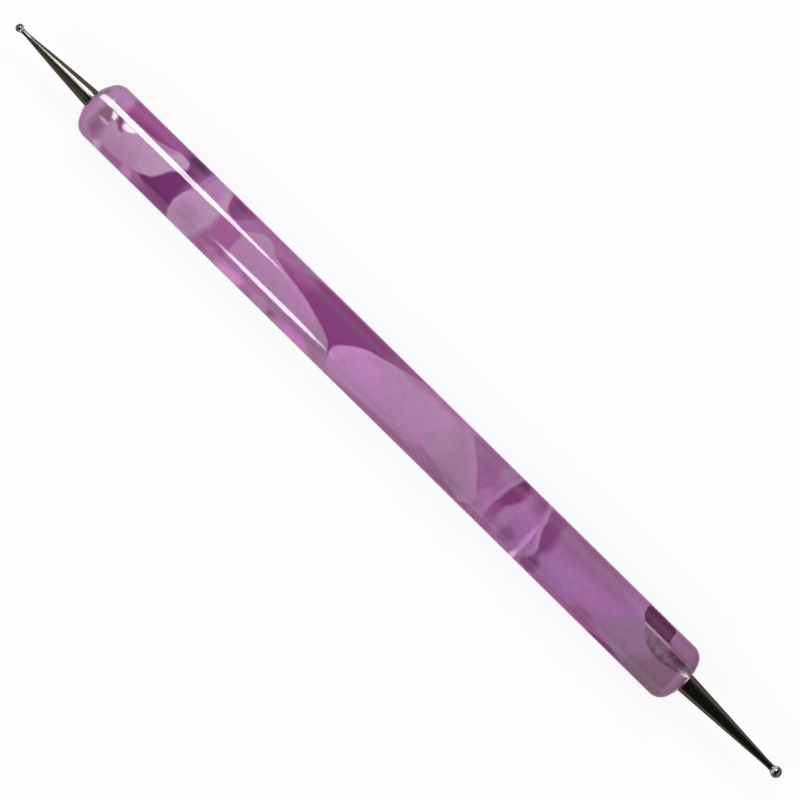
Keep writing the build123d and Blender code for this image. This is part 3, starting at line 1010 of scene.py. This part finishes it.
def resin_finish(looks):
    """Clear, polished acrylic. Lamps shine through it onto the pearl.

    At a slant it only bends light, because the floor mirrored there would grey the pearl, and it is glossy
    again along the very edge.
    """
    material, nodes = new_finish("clear_resin")
    place = nodes.add("TexCoord", output="Object")
    rubbed = nodes.noise(place, 400.0, 3.0, 0.6)
    roughness = 0.05 + nodes.ease(rubbed, 0.4, 0.8) * 0.015
    glass = nodes.add("BsdfPrincipled", {}, {
        "Base Color": looks.resin, "Roughness": roughness, "IOR": RESIN_IOR, "Transmission Weight": 1.0,
    })
    dull = nodes.add("BsdfRefraction", {}, {
        "Color": looks.resin_slant, "Roughness": roughness, "IOR": RESIN_IOR,
    })
    facing = nodes.add("LayerWeight", {}, {"Blend": 0.5}, "Facing")
    slant = nodes.ease(facing, 0.2, 0.5) * (1 - nodes.ease(facing, 0.68, 0.9) * 0.8)
    body = nodes.add("MixShader", {}, {0: slant * 0.85, 1: glass, 2: dull})
    clear = nodes.add("BsdfTransparent")
    path = nodes.add("LightPath", output="Is Diffuse Ray")
    bounced = nodes.add("MixShader", {}, {0: path, 1: body, 2: clear})
    close_finish(nodes, nodes.add("MixShader", {}, {0: path.other("Is Shadow Ray"), 1: bounced, 2: clear}))
    return material


def bonded_finish():
    """The wall of a hole where adhesive wets the resin, so that nothing shines there."""
    material, nodes = new_finish("bonded_wall")
    close_finish(nodes, nodes.add("BsdfTransparent"))
    return material


def adhesive_finish(name, looks, milkiness):
    """Cured adhesive: clear, with rusty and milky patches, a milky seam along one side and a painted
    highlight near each mouth.
    """
    material, nodes = new_finish(name)
    place = nodes.add("TexCoord", output="Object")
    axes = nodes.axes(place)
    turn = nodes.turn(axes)
    patches = nodes.noise(place, 800.0, 3.0)
    specks = nodes.noise(place, 1900.0, 3.0, 0.6)

    # Angles are in radians from the top towards +Y, and the ends of the painted highlight in millimetres
    # along the tool
    seam = nodes.ease(turn, 0.95, 1.15) * (1 - nodes.ease(turn, 1.75, 2.0))
    rust = nodes.ease(specks, 0.38, 0.62) * (1 - nodes.ease(abs(turn - 0.1), 0.12, 0.3)) * 0.85
    along = abs(axes) / MM
    # Painted highlight: a pale patch in the adhesive near each mouth, standing in for the glint at the broad
    # mouth
    pale_pink_and_highlight = nodes.ease(along, 49.2, 49.7) * (1 - nodes.ease(along, 50.3, 50.7))
    pale_pink_and_highlight = pale_pink_and_highlight * (1 - nodes.ease(abs(turn - 0.28), 0.2, 0.42))
    milky = nodes.ease(patches, 0.35, 0.7)

    shade = nodes.blend(milky, looks.adhesive, nodes.blend(0.3, looks.adhesive, looks.milk))
    for share, patch in ((rust, looks.rust), (seam, looks.milk), (pale_pink_and_highlight, looks.pale_pink_and_highlight)):
        shade = nodes.blend(share, shade, patch)
    cover = (0.5 + milky * 0.1 + rust * 0.3) * milkiness
    cover = nodes.maths("MAXIMUM", cover, seam * 0.9 * milkiness)
    cover = nodes.maths("MAXIMUM", cover, pale_pink_and_highlight * milkiness)
    close_finish(nodes, nodes.add("BsdfPrincipled", {}, {
        "Base Color": shade, "Roughness": 0.3, "Alpha": cover,
    }))
    return material


def steel_finish(name, shade, roughness, rings, painted_sheen=None, sheen_ends=0.0):
    """Plated steel with fine rings from turning, duller in patches.

    Where a lighter colour is given, it is painted over the metal from the barrel out to a given place along
    the tool: a painted reflection of the bright studio on the side that faces the handle.
    """
    material, nodes = new_finish(name)
    place = nodes.add("TexCoord", output="Object")
    along_a_ring, fade = 60, 0.15 * MM
    stretched = nodes.add("Mapping", {}, {"Vector": place, "Scale": (rings, along_a_ring, along_a_ring)})
    marks = nodes.noise(stretched, 1.0, 3.0, 0.6)
    patches = nodes.noise(place, 900.0, 3.0)
    bump = nodes.add("Bump", {}, {"Strength": 0.07, "Distance": 0.02 * MM, "Height": marks})
    wear_and_sheen = nodes.blend(nodes.ease(patches, 0.4, 0.8) * 0.35, shade, tuple(part * 0.6 for part in shade))
    # Painted reflection: a lighter colour from the barrel out to the given place along the tool
    if painted_sheen:
        past_sheen = nodes.ease(abs(nodes.axes(place)), sheen_ends - fade, sheen_ends + fade)
        wear_and_sheen = nodes.blend(past_sheen, painted_sheen, wear_and_sheen)
    close_finish(nodes, nodes.add("BsdfPrincipled", {}, {
        "Base Color": wear_and_sheen,
        "Metallic": 1.0,
        "Specular Tint": (0.3, 0.29, 0.25),
        "Roughness": roughness + nodes.ease(patches, 0.35, 0.8) * 0.08 + marks * 0.05,
        "Normal": bump,
    }))
    return material


def floor_finish():
    """A table top that looks white, in metal and glass too, and still takes the tool's shadow."""
    material, nodes = new_finish("floor_paint")
    path = nodes.add("LightPath")
    seen = nodes.maths("MAXIMUM", path, path.other("Is Glossy Ray"))
    seen = nodes.maths("MAXIMUM", seen, path.other("Is Transmission Ray"))
    pale, white, whiteness = (0.82, 0.82, 0.82), (1, 1, 1), 0.88
    matt = nodes.add("BsdfDiffuse", {}, {"Color": pale})
    shine = nodes.add("Emission", {}, {"Color": white, "Strength": 1.0})
    close_finish(nodes, nodes.add("MixShader", {}, {0: seen * whiteness, 1: matt, 2: shine}))
    return material


def studio_world():
    """A studio with pale low walls, a dim ceiling, and large soft lights past the two ends of the tool."""
    world = bpy.data.worlds.new("studio")
    bpy.context.scene.world = world
    nodes = Nodes(world)
    towards = nodes.axes(nodes.add("TexCoord", output="Generated"))

    # The walls are lower on the -Y side, and dim upwards into the ceiling
    lowest, rise, wall_glow, dimming = 0.25, 0.5, 0.85, 0.93
    wall_top = nodes.ease(towards.other("Y"), -0.5, 0.3) * rise + lowest
    walls = (1 - nodes.ease(towards.other("Z") / wall_top, 0, 1) * dimming) * wall_glow
    strength = nodes.maths("MAXIMUM", walls, nodes.ease(abs(towards), 0.35, 0.8))
    light = nodes.add("Background", {}, {"Color": (1, 1, 1), "Strength": strength})
    nodes.add("OutputWorld", {}, {"Surface": light})


# Operators


class BuildBarrel(bpy.types.Operator):
    """Turn the clear barrel and the pearl layer inside it"""

    bl_idname = "stylus.barrel"
    bl_label = "Barrel"
    bl_options = {"REGISTER", "UNDO"}

    def execute(self, context):
        settings = context.scene.stylus
        barrel, looks = settings.barrel, settings.marbling
        resin = turned("handle_resin", barrel_outline(settings), barrel.turn_steps)
        finish_piece(resin, "handle", "marbled_acrylic", resin_finish(looks), bonded_finish())
        hair = 0.01 * MM
        bonded_to = max(bore_radius(barrel, end) for side, name, end in both_ends(settings)) + hair
        for face in resin.data.polygons:
            radius = max(hypot(*resin.data.vertices[i].co.yz) for i in face.vertices)
            face.material_index = int(radius < bonded_to)
        pearl = turned("handle_pearl", pearl_outline(settings), barrel.turn_steps)
        cut_window(pearl, rounded(window_outline(barrel, BROAD_WINDOW), steps=5), barrel.diameter)
        bpy.ops.object.shade_smooth_by_angle(angle=SMOOTH_ANGLE)
        finish_piece(pearl, "handle", "marbled_acrylic", pearl_finish(barrel, looks), far_wall_finish(looks))
        straight = barrel.length / 2 - barrel.corner_radius
        for face in pearl.data.polygons:
            x, y, z = face.center
            past = x - max(-straight, min(straight, x))
            face.material_index = int(face.normal.dot(Vector((past, y, z))) < 0)
        return {"FINISHED"}


class BuildPins(bpy.types.Operator):
    """Turn the two steel pins"""

    bl_idname = "stylus.pins"
    bl_label = "Pins"
    bl_options = {"REGISTER", "UNDO"}

    def execute(self, context):
        settings = context.scene.stylus
        steel = steel_finish("plated_steel", settings.pins.steel, roughness=0.11, rings=9000)
        for node, end, pin in turn_each(settings, pin_outline, "turned_", "pin", settings.barrel.turn_steps):
            finish_piece(pin, node, "plated_steel", steel)
        return {"FINISHED"}


class BuildBalls(bpy.types.Operator):
    """Turn the two drilled balls"""

    bl_idname = "stylus.balls"
    bl_label = "Balls"
    bl_options = {"REGISTER", "UNDO"}

    def execute(self, context):
        settings = context.scene.stylus
        looks, steps, ball_share = settings.pins, settings.barrel.turn_steps // 2, 0.66
        for node, end, ball in turn_each(settings, ball_outline, "polished_", "ball", steps):
            # Painted reflection: each ball is painted lighter over about a third of its width, on the side
            # towards the handle
            sheen_ends = settings.barrel.length / 2 + end.reach - end.ball_diameter * ball_share
            steel = steel_finish(node + "_steel", looks.ball_steel, 0.06, 1500, looks.painted_sheen, sheen_ends)
            finish_piece(ball, node, "ball_steel", steel)
        return {"FINISHED"}


class BuildSolder(bpy.types.Operator):
    """Run the solder into each ball's socket"""

    bl_idname = "stylus.solder"
    bl_label = "Solder"
    bl_options = {"REGISTER", "UNDO"}

    def execute(self, context):
        settings = context.scene.stylus
        steps = settings.barrel.turn_steps // 2
        metal = steel_finish("plated_solder", settings.pins.solder, roughness=0.24, rings=1200)
        for node, end, ring in turn_each(settings, solder_outline, "flowed_", "solder", steps):
            finish_piece(ring, node, "solder", metal)
        return {"FINISHED"}


class BuildAdhesive(bpy.types.Operator):
    """Fill the gap round each shank with adhesive"""

    bl_idname = "stylus.adhesive"
    bl_label = "Adhesive"
    bl_options = {"REGISTER", "UNDO"}

    def execute(self, context):
        settings = context.scene.stylus
        steps, milkiness = settings.barrel.turn_steps, {"fine_adhesive": 0.3, "broad_adhesive": 1.0}
        for node, end, fill in turn_each(settings, adhesive_outline, "cured_", "adhesive", steps):
            cured = adhesive_finish("cured_" + node, settings.marbling, milkiness[node])
            finish_piece(fill, node, "clear_adhesive", cured)
        return {"FINISHED"}


def soft_light(name, low_x, high_x, tilt, glow, distance=0.5, width=0.5, shape="ELLIPSE", tint=(1, 1, 1)):
    """A soft light over part of the tool, that faces its axis. It leans towards +Y by tilt, in degrees."""
    light = bpy.data.lights.new(name, "AREA")
    light.shape, light.size, light.size_y = shape, high_x - low_x, width
    filled = pi / 4 if shape == "ELLIPSE" else 1
    light.energy = glow * pi * (filled * light.size * light.size_y)
    light.color = tint
    holder = bpy.data.objects.new(name, light)
    lean = radians(tilt)
    holder.location = ((low_x + high_x) / 2, sin(lean) * distance, cos(lean) * distance)
    holder.rotation_euler = (-lean, 0, 0)
    bpy.context.collection.objects.link(holder)
    return holder


class BuildStage(bpy.types.Operator):
    """Set up the floor, the lights and the camera"""

    bl_idname = "stylus.stage"
    bl_label = "Stage"
    bl_options = {"REGISTER", "UNDO"}

    def execute(self, context):
        stage, barrel = context.scene.stylus.stage, context.scene.stylus.barrel
        bpy.ops.object.select_all(action="DESELECT")
        bpy.ops.mesh.primitive_plane_add(size=stage.floor_size, location=(0, 0, -barrel.diameter / 2))
        floor = context.object
        floor.name = "floor"
        floor.data.materials.append(floor_finish())
        floor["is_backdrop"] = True
        studio_world()
        soft_light("key_strip", -0.19, -0.041, 38.4, stage.key_glow, width=0.21)
        soft_light("fill_strip", -0.053, -0.019, -52, stage.fill_glow, width=0.155)
        bounce = soft_light("bounce_card", -0.5, 0.5, -40, stage.bounce_glow, distance=0.8, width=0.6)
        bounce.visible_glossy = False
        pin_card = soft_light(
            "pin_card", -0.187, -0.148, 32, stage.pin_glow, width=0.56, shape="RECTANGLE",
            tint=(1, 0.92, 1.1),
        )
        shade_card = soft_light(
            "pin_shade_card", -0.235, -0.14, -50, stage.pin_shade_glow, shape="RECTANGLE",
            tint=(1, 1, 0.4),
        )
        pin_card.visible_diffuse = shade_card.visible_diffuse = False
        camera = bpy.data.cameras.new("camera")
        camera.lens = stage.lens
        holder = bpy.data.objects.new("camera", camera)
        distance = stage.view_width * stage.lens / camera.sensor_width
        holder.location = (stage.view_x, stage.view_y, distance)
        holder.rotation_euler = (0, 0, stage.roll)
        context.collection.objects.link(holder)
        context.scene.camera = holder
        context.scene.view_settings.view_transform = "Standard"
        return {"FINISHED"}


BUILDERS = (BuildStage, BuildBarrel, BuildPins, BuildBalls, BuildSolder, BuildAdhesive)


class StylusPanel(bpy.types.Panel):
    """Buttons that build the stylus"""

    bl_idname = "VIEW3D_PT_stylus"
    bl_label = "Embossing stylus"
    bl_space_type = "VIEW_3D"
    bl_region_type = "UI"
    bl_category = "Stylus"

    def draw(self, context):
        for builder in BUILDERS:
            self.layout.operator(builder.bl_idname)


CLASSES = (
    BarrelSettings, FineEndSettings, BroadEndSettings, PinSettings, MarblingSettings, StageSettings,
    StylusSettings, *BUILDERS, StylusPanel,
)


def register():
    for cls in CLASSES:
        bpy.utils.register_class(cls)
    bpy.types.Scene.stylus = PointerProperty(
        type=StylusSettings, name="Stylus", description="Settings of the embossing stylus",
    )


def unregister():
    del bpy.types.Scene.stylus
    for cls in reversed(CLASSES):
        bpy.utils.unregister_class(cls)


def main():
    """Build the stage and every piece."""
    register()
    for build in (
        bpy.ops.stylus.stage, bpy.ops.stylus.barrel, bpy.ops.stylus.pins, bpy.ops.stylus.balls,
        bpy.ops.stylus.solder, bpy.ops.stylus.adhesive,
    ):
        build()
    sizes = {"cad": cad_box, "visual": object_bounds()}
    {name: [list(corner) for corner in box] for name, box in sizes.items()}


if __name__ == "__main__":
    main()
